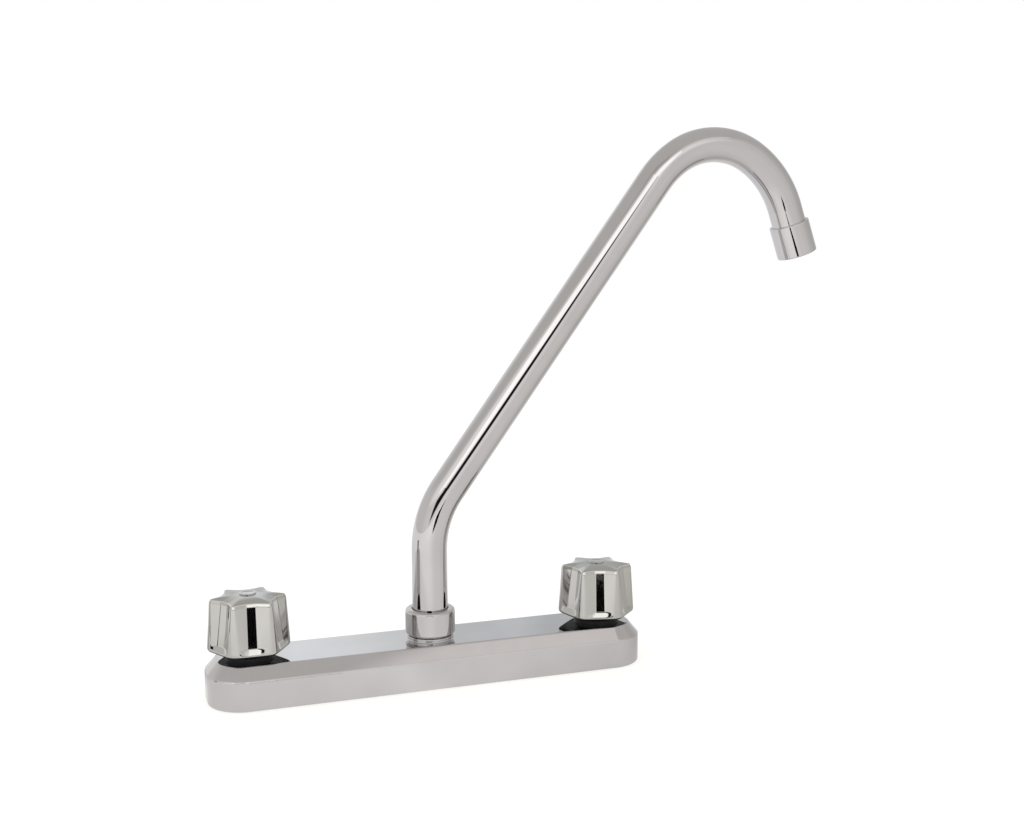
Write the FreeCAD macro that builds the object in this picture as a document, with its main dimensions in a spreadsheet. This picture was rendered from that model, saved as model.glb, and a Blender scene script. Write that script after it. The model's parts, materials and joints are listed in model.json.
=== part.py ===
import FreeCAD, Part
import math
import os
import Sketcher

# Two handle kitchen faucet on 8 inch centres.
# Frame: X runs along the deck cover, hot side at -X; -Y is the front; +Z is up.
# Origin: middle of the underside, on the sink deck.  Millimetres.

os.makedirs("parts", exist_ok=True)
doc = FreeCAD.newDocument("kitchen_faucet")
V = FreeCAD.Vector

# ---------------------------------------------------------------- dimensions
DIMS = dict(
    half_centres=101.6,          # hot and cold axes stand 203.2 apart
    # deck cover
    cover_half_length=125.2, cover_half_width=23.75, cover_corner=20.0,
    cover_skirt=16.3, cover_height=23.28, cover_inset=5.9, cover_wall=1.8,
    cover_neck_hole=10.8, cover_boss_hole=11.2, cover_ring_radius=13.2, cover_ring_top=25.2,
    cover_foot_round=1.2, cover_crease_round=0.8,
    # gasket under the cover
    gasket_gap=0.15, gasket_thick=1.5, gasket_port=13.2,
    # waterway casting
    barrel_radius=15.0, barrel_top=20.5, neck_radius=10.5, neck_top=26.5,
    spigot_radius=13.0, spigot_bottom=0.3, inlet_radius=9.5, inlet_top=12.5, seat_floor=14.0, seat_bore=4.5, chamber_radius=8.2,
    boss_base_radius=14.0, boss_radius=10.9, boss_top=35.4, boss_bore=8.95, boss_floor=12.0,
    cross_height=17.2, cross_bore=3.0, cross_radius=4.15,
    # flange nut on each neck
    flange_nut_radius=13.0, flange_nut_top=26.2,
    # valve seat, washer cup, seat washer, washer screw
    seat_flange=6.4, seat_flange_top=15.0, seat_lip=5.0, seat_lip_in=4.2, seat_lip_top=15.4, seat_hole=3.4,
    washer_radius=5.0, washer_bottom=15.45, washer_top=17.2, washer_hole=1.45,
    cup_radius=5.8, cup_rim_bottom=16.2, cup_top=18.3, cup_pin=2.6, cup_pin_top=21.8,
    wscrew_head=2.6, wscrew_head_bottom=14.4, wscrew_shank=1.4, wscrew_tip=20.5,
    # stem
    stem_head=5.5, stem_bottom=18.35, stem_head_top=27.5, stem_shaft=4.0, stem_socket=2.65, stem_socket_top=22.0,
    stem_spline=3.4, stem_spline_bottom=39.9, stem_top=47.8, stem_thread=1.6, stem_thread_bottom=38.0,
    oring_groove_bottom=32.4, oring_height=1.7, oring_groove=3.1, oring_radius=4.03,
    # bonnet
    bonnet_bottom=21.5, bonnet_hex_bottom=27.3, bonnet_hex_top=31.6, bonnet_hex_flats=16.4,
    bonnet_sleeve=6.6, bonnet_top=39.0, bonnet_head_bore=5.55, bonnet_shoulder=31.0, bonnet_bore=4.05,
    bonnet_gasket_in=8.25, bonnet_gasket_out=10.4,
    # knob
    knob_bottom=27.8, knob_foot_radius=20.5, knob_wide_z=29.9, knob_wide_radius=22.2,
    knob_rim_z=54.4, knob_rim_radius=20.65, knob_bevel_z=56.5, knob_bevel_radius=19.5,
    knob_dome_z=57.6, knob_dome_radius=10.0, knob_crown_z=57.95,
    flute_count=6, knob_ramp_z=33.0, valley_half=2.75,
    lobe_tip_foot=22.18, lobe_round_foot=6.0, valley_floor_foot=19.6,
    lobe_tip_low=21.98, lobe_round_low=5.0, valley_floor_low=18.4,
    lobe_tip_top=20.4, lobe_round_top=2.2, valley_floor_top=15.1,
    cavity_radius=12.6, cavity_top=49.0, knob_screw_hole=1.9, button_bore_floor=52.5, button_bore=4.6,
    knob_plate_top=28.8, knob_plate_radius=18.0, hub_recess=10.2, hub_recess_top=40.0, hub_socket_top=48.0,
    hub_socket=3.45, hub_screw_hole=1.7, hub_gap=0.05,
    kscrew_head=3.0, kscrew_head_top=54.7, kscrew_shank=1.55, kscrew_tip=39.0,
    button_radius=4.55, button_bottom=55.0, button_edge_z=58.2, button_top=58.7,
    # spout collar nut, thrust ring, bushing, rings
    collar_radius=14.0, collar_bottom=25.4, collar_top=40.3, collar_thread=10.95, collar_thread_top=35.6,
    collar_recess=11.9, collar_recess_top=39.0, collar_hole=10.45, collar_round=1.7, collar_foot=1.5,
    ring_in=10.15, ring_out=11.8, ring_bottom=37.6, ring_top=38.9, ring_slit=1.2,
    bush_radius=8.9, bush_bottom=21.0, bush_flange=10.6, bush_flange_bottom=35.5, bush_flange_top=37.2,
    bush_top=48.0, bush_bore=6.5, bush_groove=7.3, bush_groove_a=24.0, bush_groove_b=29.0, bush_groove_height=2.0,
    bush_oring=8.93,
    # spout tube: outside radius, wall, and its centreline
    tube_radius=10.0, tube_wall=1.0, riser_top=74.08,
    foot_bend_radius=56.23, foot_bend_angle=36.17, slant_length=212.6,
    arch_a_radius=55.38, arch_a_angle=20.0, arch_b_radius=44.1, arch_b_angle=66.0,
    arch_c_radius=57.15, arch_c_angle=38.73, drop_length=9.13, drop_hidden=6.0,
    # aerator, measured along the outflow from the top of its housing
    aer_radius=11.8, aer_length=19.4, aer_socket=10.0, aer_socket_depth=6.5, aer_bore=9.7, aer_lip=8.6,
    aer_lip_start=18.0, aer_round=0.6,
    awasher_in=7.0, awasher_out=9.65, awasher_start=6.55, awasher_end=8.05,
    former_radius=9.6, former_start=8.1, former_plate_end=10.6, former_end=15.6, former_skirt=8.4,
    former_hole=0.9, former_pitch_a=5.6, former_count_a=10, former_pitch_b=2.9, former_count_b=5,
    screen_radius=9.6, screen_start=15.7, screen_end=16.6, screen_rim=8.2, screen_bar=0.7,
)


def spout_points():
    """Corner points and arc centres of the spout centreline in the XZ plane."""
    d = DIMS
    x, z, turn = 0.0, d["bush_flange_top"], 0.0
    pts, arcs = [(x, z)], []
    z = d["riser_top"]
    pts.append((x, z))

    def bend(radius, angle):
        cx, cz = pts[-1][0] + radius * math.cos(turn), pts[-1][1] - radius * math.sin(turn)
        end = turn + math.radians(angle)
        pts.append((cx - radius * math.cos(end), cz + radius * math.sin(end)))
        arcs.append((cx, cz, radius, turn, end))
        return end

    def run(length):
        pts.append((pts[-1][0] + length * math.sin(turn), pts[-1][1] + length * math.cos(turn)))

    turn = bend(d["foot_bend_radius"], d["foot_bend_angle"])
    run(d["slant_length"])
    turn = bend(d["arch_a_radius"], d["arch_a_angle"])
    turn = bend(d["arch_b_radius"], d["arch_b_angle"])
    turn = bend(d["arch_c_radius"], d["arch_c_angle"])
    run(d["drop_length"])
    return pts, arcs, turn


PATH, ARCS, OUTFLOW = spout_points()
for k, (px, pz) in enumerate(PATH):
    DIMS["spine_x_%s" % "abcdefgh"[k]] = round(px, 5)
    DIMS["spine_z_%s" % "abcdefgh"[k]] = round(pz, 5)
# the tube runs on inside the aerator housing
DIMS["spine_x_end"] = round(PATH[-1][0] + DIMS["drop_hidden"] * math.sin(OUTFLOW), 5)
DIMS["spine_z_end"] = round(PATH[-1][1] + DIMS["drop_hidden"] * math.cos(OUTFLOW), 5)

sheet = doc.addObject("Spreadsheet::Sheet", "dims")
for row, (alias, value) in enumerate(DIMS.items(), start=1):
    sheet.set("A%d" % row, alias.replace("_", " "))
    sheet.set("B%d" % row, repr(float(value)))
    sheet.setAlias("B%d" % row, alias)
doc.recompute()


class Q:
    """A size: its value, and the expression that binds it to the sheet."""

    def __init__(self, value, text):
        self.value, self.text = float(value), text

    def __add__(self, other):
        o = as_q(other)
        return Q(self.value + o.value, "(%s + %s)" % (self.text, o.text))

    def __sub__(self, other):
        o = as_q(other)
        return Q(self.value - o.value, "(%s - %s)" % (self.text, o.text))

    def __mul__(self, k):
        return Q(self.value * k, "(%s * %.9g)" % (self.text, k))

    def __neg__(self):
        return Q(-self.value, "(0 - %s)" % self.text)


def as_q(x):
    return x if isinstance(x, Q) else Q(x, "%.9g" % x)


def q(alias):
    return Q(DIMS[alias], "dims." + alias)


def plane(body, role):
    return [o for o in body.Origin.OriginFeatures if o.Role == role][0]


def new_body(label):
    body = doc.addObject("PartDesign::Body", label)
    body.Label = label
    return body


def new_sketch(body, name, role, lift=None):
    sk = body.newObject("Sketcher::SketchObject", name)
    sk.AttachmentSupport = [(plane(body, role), "")]
    sk.MapMode = "FlatFace"
    if lift is not None:
        lift = as_q(lift)
        sk.AttachmentOffset = FreeCAD.Placement(V(0, 0, lift.value), FreeCAD.Rotation())
        sk.setExpression("AttachmentOffset.Base.z", lift.text)
    return sk


def pin_point(sk, geo, pos, x, y):
    """Hold one sketch point at x, y, each bound to the sheet."""
    x, y = as_q(x), as_q(y)
    if abs(x.value) < 1e-9:
        sk.addConstraint(Sketcher.Constraint("PointOnObject", geo, pos, -2))
    else:
        i = sk.addConstraint(Sketcher.Constraint("DistanceX", -1, 1, geo, pos, x.value))
        sk.setExpression("Constraints[%d]" % i, x.text)
    if abs(y.value) < 1e-9:
        sk.addConstraint(Sketcher.Constraint("PointOnObject", geo, pos, -1))
    else:
        i = sk.addConstraint(Sketcher.Constraint("DistanceY", -1, 1, geo, pos, y.value))
        sk.setExpression("Constraints[%d]" % i, y.text)


def polygon(sk, points):
    """Closed polygon through the points."""
    pts = [(as_q(a), as_q(b)) for a, b in points]
    n, first = len(pts), sk.GeometryCount
    for i in range(n):
        a, b = pts[i], pts[(i + 1) % n]
        sk.addGeometry(Part.LineSegment(V(a[0].value, a[1].value, 0), V(b[0].value, b[1].value, 0)))
    for i in range(n):
        sk.addConstraint(Sketcher.Constraint("Coincident", first + i, 2, first + (i + 1) % n, 1))
    for i, (a, b) in enumerate(pts):
        pin_point(sk, first + i, 1, a, b)


def circle(sk, x, y, radius):
    x, y, radius = as_q(x), as_q(y), as_q(radius)
    g = sk.addGeometry(Part.Circle(V(x.value, y.value, 0), V(0, 0, 1), radius.value))
    if abs(x.value) < 1e-9 and abs(y.value) < 1e-9:
        sk.addConstraint(Sketcher.Constraint("Coincident", g, 3, -1, 1))
    else:
        pin_point(sk, g, 3, x, y)
    i = sk.addConstraint(Sketcher.Constraint("Radius", g, radius.value))
    sk.setExpression("Constraints[%d]" % i, radius.text)


def rounded_rectangle(sk, half_x, half_y, corner):
    """Rectangle with four equal corner arcs, centred on the sketch origin."""
    hx, hy, r = as_q(half_x), as_q(half_y), as_q(corner)
    ax, ay = hx - r, hy - r
    runs = [((-ax, -hy), (ax, -hy)), ((hx, -ay), (hx, ay)), ((ax, hy), (-ax, hy)), ((-hx, ay), (-hx, -ay))]
    first = sk.GeometryCount
    for a, b in runs:
        sk.addGeometry(Part.LineSegment(V(a[0].value, a[1].value, 0), V(b[0].value, b[1].value, 0)))
    centres = [(ax, -ay, -90), (ax, ay, 0), (-ax, ay, 90), (-ax, -ay, 180)]
    for cx, cy, start in centres:
        c = Part.Circle(V(cx.value, cy.value, 0), V(0, 0, 1), r.value)
        sk.addGeometry(Part.ArcOfCircle(c, math.radians(start), math.radians(start + 90)))
    for i in range(4):
        sk.addConstraint(Sketcher.Constraint("Coincident", first + i, 2, first + 4 + i, 1))
        sk.addConstraint(Sketcher.Constraint("Coincident", first + 4 + i, 2, first + (i + 1) % 4, 1))
    for i, (a, b) in enumerate(runs):
        pin_point(sk, first + i, 1, a[0], a[1])
        pin_point(sk, first + i, 2, b[0], b[1])
    for i in range(4):
        c = sk.addConstraint(Sketcher.Constraint("Radius", first + 4 + i, r.value))
        sk.setExpression("Constraints[%d]" % c, r.text)


def pad(body, sk, length, name="pad"):
    f = body.newObject("PartDesign::Pad", name)
    f.Profile = sk
    length = as_q(length)
    f.Length = length.value
    f.setExpression("Length", length.text)
    doc.recompute()
    return f


def pocket(body, sk, length, name="pocket", up=True):
    """Cut from the sketch upwards (or downwards), and make sure that it cuts."""
    before = body.Shape.Volume
    f = body.newObject("PartDesign::Pocket", name)
    f.Profile = sk
    length = as_q(length)
    f.Length = length.value
    f.setExpression("Length", length.text)
    f.Reversed = up
    doc.recompute()
    if not body.Shape.Volume < before - 1e-3:
        raise RuntimeError("%s in %s cuts nothing" % (name, body.Label))
    return f


def spin(body, sk, name="revolution"):
    f = body.newObject("PartDesign::Revolution", name)
    f.Profile = sk
    f.ReferenceAxis = (sk, ["V_Axis"])
    f.Angle = 360.0
    doc.recompute()
    return f


def groove(body, sk, name="groove"):
    before = body.Shape.Volume
    f = body.newObject("PartDesign::Groove", name)
    f.Profile = sk
    f.ReferenceAxis = (sk, ["V_Axis"])
    f.Angle = 360.0
    doc.recompute()
    if not body.Shape.Volume < before - 1e-3:
        raise RuntimeError("%s in %s cuts nothing" % (name, body.Label))
    return f


def turned(label, points):
    """A turned piece: one closed half profile (radius, height) spun about Z."""
    body = new_body(label)
    sk = new_sketch(body, label + "_profile", "XZ_Plane")
    polygon(sk, points)
    spin(body, sk)
    return body


def ring(label, r_in, r_out, z_low, z_high):
    return turned(label, [(r_in, z_low), (r_out, z_low), (r_out, z_high), (r_in, z_high)])


def edges_at(shape, test):
    return ["Edge%d" % (i + 1) for i, e in enumerate(shape.Edges) if test(e)]


def fillet(body, base, radius, test, name="fillet"):
    f = body.newObject("PartDesign::Fillet", name)
    names = edges_at(base.Shape, test)
    if not names:
        raise RuntimeError("no edges for %s in %s" % (name, body.Label))
    f.Base = (base, names)
    radius = as_q(radius)
    f.Radius = radius.value
    f.setExpression("Radius", radius.text)
    doc.recompute()
    return f


def chamfer(body, base, size, test, name="chamfer"):
    f = body.newObject("PartDesign::Chamfer", name)
    names = edges_at(base.Shape, test)
    if not names:
        raise RuntimeError("no edges for %s in %s" % (name, body.Label))
    f.Base = (base, names)
    size = as_q(size)
    f.Size = size.value
    f.setExpression("Size", size.text)
    doc.recompute()
    return f


def flat_at(z, tol=1e-4):
    """Edges that lie wholly at one height."""
    return lambda e: abs(e.BoundBox.ZMin - z) < tol and abs(e.BoundBox.ZMax - z) < tol


def ring_edge(z, r, tol=1e-3):
    """A full circle of radius r at height z."""
    return lambda e: flat_at(z)(e) and abs(e.BoundBox.XMax - r) < tol and abs(e.BoundBox.XMin + r) < tol


NODES = []


def keep(obj, side=None, spin_deg=0.0):
    """Put a sub-part in its place: on the hot (-1) or cold (+1) axis, or as it is."""
    if side is not None:
        obj.Placement = FreeCAD.Placement(V(side * DIMS["half_centres"], 0, 0), FreeCAD.Rotation(V(0, 0, 1), spin_deg))
        obj.setExpression("Placement.Base.x", "dims.half_centres * %d" % side)
    NODES.append(obj)
    return obj


# ---------------------------------------------------------------- deck cover
def make_deck_cover():
    body = new_body("deck_cover")
    hx, hy, rc, ins, wall = (q(n) for n in ("cover_half_length", "cover_half_width", "cover_corner", "cover_inset", "cover_wall"))
    skirt, top = q("cover_skirt"), q("cover_height")
    s = new_sketch(body, "cover_outline", "XY_Plane")
    rounded_rectangle(s, hx, hy, rc)
    pad(body, s, skirt, "cover_skirt_pad")
    low = new_sketch(body, "cover_shoulder_low", "XY_Plane", skirt)
    rounded_rectangle(low, hx, hy, rc)
    high = new_sketch(body, "cover_shoulder_high", "XY_Plane", top)
    rounded_rectangle(high, hx - ins, hy - ins, rc - ins)
    loft = body.newObject("PartDesign::AdditiveLoft", "cover_shoulder")
    loft.Profile = low
    loft.Sections = [high]
    loft.Ruled = True
    doc.recompute()
    f = fillet(body, loft, q("cover_crease_round"), flat_at(top.value), "cover_top_round")
    f = fillet(body, f, q("cover_crease_round"), flat_at(skirt.value), "cover_skirt_round")
    f = fillet(body, f, q("cover_foot_round"), flat_at(0.0), "cover_foot_round")
    lip = new_sketch(body, "cover_ring", "XY_Plane", top - 0.5)
    circle(lip, 0, 0, q("cover_ring_radius"))
    f = pad(body, lip, q("cover_ring_top") - top + 0.5, "cover_ring_pad")
    # hollow: the inside follows the outside one wall thickness in
    inner_low = new_sketch(body, "cover_hollow_low", "XY_Plane")
    rounded_rectangle(inner_low, hx - wall, hy - wall, rc - wall)
    pocket(body, inner_low, skirt - wall * 0.5, "cover_hollow")
    a = new_sketch(body, "cover_hollow_a", "XY_Plane", skirt - wall * 0.5)
    rounded_rectangle(a, hx - wall, hy - wall, rc - wall)
    b = new_sketch(body, "cover_hollow_b", "XY_Plane", top - wall)
    rounded_rectangle(b, hx - ins - wall, hy - ins - wall, rc - ins - wall)
    before = body.Shape.Volume
    cut = body.newObject("PartDesign::SubtractiveLoft", "cover_hollow_shoulder")
    cut.Profile = a
    cut.Sections = [b]
    cut.Ruled = True
    doc.recompute()
    if not body.Shape.Volume < before - 1:
        raise RuntimeError("the cover's hollow shoulder cuts nothing")
    holes = new_sketch(body, "cover_holes", "XY_Plane", top - wall * 2)
    circle(holes, 0, 0, q("cover_boss_hole"))
    circle(holes, q("half_centres"), 0, q("cover_neck_hole"))
    circle(holes, -q("half_centres"), 0, q("cover_neck_hole"))
    pocket(body, holes, wall * 4, "cover_hole_cut")
    return keep(body)


def make_deck_gasket():
    body = new_body("deck_gasket")
    inset = q("cover_wall") + q("gasket_gap")
    s = new_sketch(body, "gasket_outline", "XY_Plane")
    rounded_rectangle(s, q("cover_half_length") - inset, q("cover_half_width") - inset, q("cover_corner") - inset)
    pad(body, s, q("gasket_thick"))
    h = new_sketch(body, "gasket_ports", "XY_Plane")
    circle(h, q("half_centres"), 0, q("gasket_port"))
    circle(h, -q("half_centres"), 0, q("gasket_port"))
    pocket(body, h, q("gasket_thick"), "gasket_port_cut")
    return keep(body)


# ---------------------------------------------------------------- waterway
def cylinder(name, r, z0, z1, side=None):
    c = doc.addObject("Part::Cylinder", name)
    r, z0, z1 = as_q(r), as_q(z0), as_q(z1)
    x = as_q(0) if side is None else q("half_centres") * side
    c.Radius, c.Height = r.value, z1.value - z0.value
    c.Placement = FreeCAD.Placement(V(x.value, 0, z0.value), FreeCAD.Rotation())
    c.setExpression("Radius", r.text)
    c.setExpression("Height", (z1 - z0).text)
    c.setExpression("Placement.Base.z", z0.text)
    if side is not None:
        c.setExpression("Placement.Base.x", x.text)
    return c


def cross_cylinder(name, r, z, half):
    c = doc.addObject("Part::Cylinder", name)
    r, z, half = as_q(r), as_q(z), as_q(half)
    c.Radius, c.Height = r.value, 2 * half.value
    c.Placement = FreeCAD.Placement(V(-half.value, 0, z.value), FreeCAD.Rotation(V(0, 1, 0), 90))
    c.setExpression("Radius", r.text)
    c.setExpression("Height", (half * 2).text)
    c.setExpression("Placement.Base.z", z.text)
    c.setExpression("Placement.Base.x", (-half).text)
    return c


def make_waterway():
    under = q("gasket_thick")
    solid = [cylinder("ww_boss_base", q("boss_base_radius"), under, q("barrel_top")),
             cylinder("ww_boss", q("boss_radius"), under, q("boss_top")),
             cross_cylinder("ww_cross", q("cross_radius"), q("cross_height"), q("half_centres"))]
    cut = [cylinder("ww_boss_bore", q("boss_bore"), q("boss_floor"), q("boss_top") + 1),
           cross_cylinder("ww_cross_bore", q("cross_bore"), q("cross_height"), q("half_centres"))]
    for side, tag in ((-1, "hot"), (1, "cold")):
        solid.append(cylinder("ww_barrel_" + tag, q("barrel_radius"), under, q("barrel_top"), side))
        solid.append(cylinder("ww_neck_" + tag, q("neck_radius"), under, q("neck_top"), side))
        solid.append(cylinder("ww_spigot_" + tag, q("spigot_radius"), q("spigot_bottom"), q("barrel_top"), side))
        cut.append(cylinder("ww_inlet_" + tag, q("inlet_radius"), q("spigot_bottom") - 1, q("inlet_top"), side))
        cut.append(cylinder("ww_seat_bore_" + tag, q("seat_bore"), q("inlet_top") - 1, q("seat_floor") + 1, side))
        cut.append(cylinder("ww_chamber_" + tag, q("chamber_radius"), q("seat_floor"), q("neck_top") + 1, side))
    fuse = doc.addObject("Part::MultiFuse", "ww_casting")
    fuse.Shapes = solid
    tools = doc.addObject("Part::MultiFuse", "ww_passages")
    tools.Shapes = cut
    body = doc.addObject("Part::Cut", "waterway_body")
    body.Base, body.Tool = fuse, tools
    body.Label = "waterway_body"
    doc.recompute()
    return keep(body)


# ---------------------------------------------------------------- one valve
def hexagon(sk, flats):
    r = as_q(flats) * (1 / math.sqrt(3))
    polygon(sk, [(r * round(math.cos(math.radians(60 * i)), 9), r * round(math.sin(math.radians(60 * i)), 9)) for i in range(6)])


def make_valve(tag, side, knob_turn):
    # flange nut that clamps the cover on the neck
    keep(turned(tag + "_flange_nut", [
        (q("neck_radius"), q("cover_height")), (q("flange_nut_radius"), q("cover_height")),
        (q("flange_nut_radius"), q("flange_nut_top") - 0.8), (q("flange_nut_radius") - 0.8, q("flange_nut_top")),
        (q("neck_radius"), q("flange_nut_top"))]), side)
    # removable seat
    keep(turned(tag + "_valve_seat", [
        (q("seat_hole"), q("inlet_top") + 0.3), (q("seat_bore"), q("inlet_top") + 0.3), (q("seat_bore"), q("seat_floor")),
        (q("seat_flange"), q("seat_floor")), (q("seat_flange"), q("seat_flange_top")), (q("seat_lip"), q("seat_flange_top")),
        (q("seat_lip"), q("seat_lip_top")), (q("seat_lip_in"), q("seat_lip_top")), (q("seat_hole"), q("seat_flange_top"))]), side)
    # swivelling washer cup, seat washer and its screw: they rise with the stem but don't turn
    keep(turned(tag + "_washer_cup", [
        (q("wscrew_shank"), q("washer_top")), (q("washer_radius"), q("washer_top")), (q("washer_radius"), q("cup_rim_bottom")),
        (q("cup_radius"), q("cup_rim_bottom")), (q("cup_radius"), q("cup_top")), (q("cup_pin"), q("cup_top")),
        (q("cup_pin"), q("cup_pin_top")), (q("wscrew_shank"), q("cup_pin_top"))]), side)
    keep(ring(tag + "_seat_washer", q("wscrew_shank"), q("washer_radius"), q("washer_bottom"), q("washer_top")), side)
    keep(turned(tag + "_washer_screw", [
        (0, q("wscrew_head_bottom")), (q("wscrew_head") - 0.5, q("wscrew_head_bottom")), (q("wscrew_head"), q("wscrew_head_bottom") + 0.4),
        (q("wscrew_head"), q("washer_bottom")), (q("wscrew_shank"), q("washer_bottom")), (q("wscrew_shank"), q("wscrew_tip")),
        (0, q("wscrew_tip"))]), side)
    # stem
    stem = turned(tag + "_stem", [
        (q("stem_socket"), q("stem_bottom")), (q("stem_head"), q("stem_bottom")), (q("stem_head"), q("stem_head_top")),
        (q("stem_shaft"), q("stem_head_top")), (q("stem_shaft"), q("oring_groove_bottom")),
        (q("oring_groove"), q("oring_groove_bottom")), (q("oring_groove"), q("oring_groove_bottom") + q("oring_height")),
        (q("stem_shaft"), q("oring_groove_bottom") + q("oring_height")), (q("stem_shaft"), q("stem_spline_bottom")),
        (q("stem_spline"), q("stem_spline_bottom")), (q("stem_spline"), q("stem_top")), (q("stem_thread"), q("stem_top")),
        (q("stem_thread"), q("stem_thread_bottom")), (0, q("stem_thread_bottom")), (0, q("stem_socket_top")),
        (q("stem_socket"), q("stem_socket_top"))])
    keep(stem, side)
    keep(ring(tag + "_stem_o_ring", q("oring_groove"), q("oring_radius"), q("oring_groove_bottom") + 0.05,
              q("oring_groove_bottom") + q("oring_height") - 0.05), side)
    # bonnet with a hexagon for the spanner
    bonnet = turned(tag + "_bonnet", [
        (q("bonnet_head_bore"), q("bonnet_bottom")), (q("chamber_radius"), q("bonnet_bottom")),
        (q("chamber_radius"), q("bonnet_hex_bottom") + 1), (q("bonnet_sleeve"), q("bonnet_hex_bottom") + 1),
        (q("bonnet_sleeve"), q("bonnet_top")), (q("bonnet_bore"), q("bonnet_top")), (q("bonnet_bore"), q("bonnet_shoulder")),
        (q("bonnet_head_bore"), q("bonnet_shoulder"))])
    hx = new_sketch(bonnet, tag + "_bonnet_hexagon", "XY_Plane", q("bonnet_hex_bottom"))
    hexagon(hx, q("bonnet_hex_flats"))
    circle(hx, 0, 0, q("bonnet_head_bore"))
    pad(bonnet, hx, q("bonnet_shoulder") - q("bonnet_hex_bottom"), "hex_pad")
    cap = new_sketch(bonnet, tag + "_bonnet_hex_top", "XY_Plane", q("bonnet_shoulder"))
    hexagon(cap, q("bonnet_hex_flats"))
    circle(cap, 0, 0, q("bonnet_bore"))
    pad(bonnet, cap, q("bonnet_hex_top") - q("bonnet_shoulder"), "hex_top_pad")
    keep(bonnet, side)
    keep(ring(tag + "_bonnet_gasket", q("bonnet_gasket_in"), q("bonnet_gasket_out"), q("neck_top"), q("bonnet_hex_bottom")), side)
    make_knob(tag, side, knob_turn)


def lobed_outline(sk, level):
    """Closed outline at one height: six rounded lobes and six flat-floored valleys, the first valley along +X."""
    tip, rho = q("lobe_tip_" + level), q("lobe_round_" + level)
    floor, half = q("valley_floor_" + level), q("valley_half")
    # slope of the flank: the tangent from the valley's edge to the lobe's arc
    cu, cv = (tip.value - rho.value) * 0.5, (tip.value - rho.value) * math.cos(math.radians(30))
    du, dv = cu - half.value, cv - floor.value
    slope = math.atan2(dv, du) + math.asin(rho.value / math.hypot(du, dv))
    pu = (tip - rho) * 0.5 - rho * math.sin(slope)
    pv = (tip - rho) * math.cos(math.radians(30)) + rho * math.cos(slope)
    count = int(DIMS["flute_count"])
    corners = []
    for k in range(count):
        a = 2 * math.pi * k / count
        c, s = round(math.cos(a), 12), round(math.sin(a), 12)
        for u, v in ((-pu, pv), (-half, floor), (half, floor), (pu, pv)):
            corners.append((v * c - u * s, v * s + u * c))
    first, n = sk.GeometryCount, len(corners)
    for i in range(n):
        p, r = corners[i], corners[(i + 1) % n]
        if i % 4 != 3:
            sk.addGeometry(Part.LineSegment(V(p[0].value, p[1].value, 0), V(r[0].value, r[1].value, 0)))
        else:
            a = 2 * math.pi * (i // 4 + 0.5) / count
            mid = V(math.cos(a), math.sin(a), 0) * tip.value
            sk.addGeometry(Part.Arc(V(p[0].value, p[1].value, 0), mid, V(r[0].value, r[1].value, 0)))
    for i in range(n):
        sk.addConstraint(Sketcher.Constraint("Coincident", first + i, 2, first + (i + 1) % n, 1))
    for i in range(n):
        pin_point(sk, first + i, 1, corners[i][0], corners[i][1])
        if i % 4 == 3:
            c = sk.addConstraint(Sketcher.Constraint("Radius", first + i, rho.value))
            sk.setExpression("Constraints[%d]" % c, rho.text)


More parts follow.
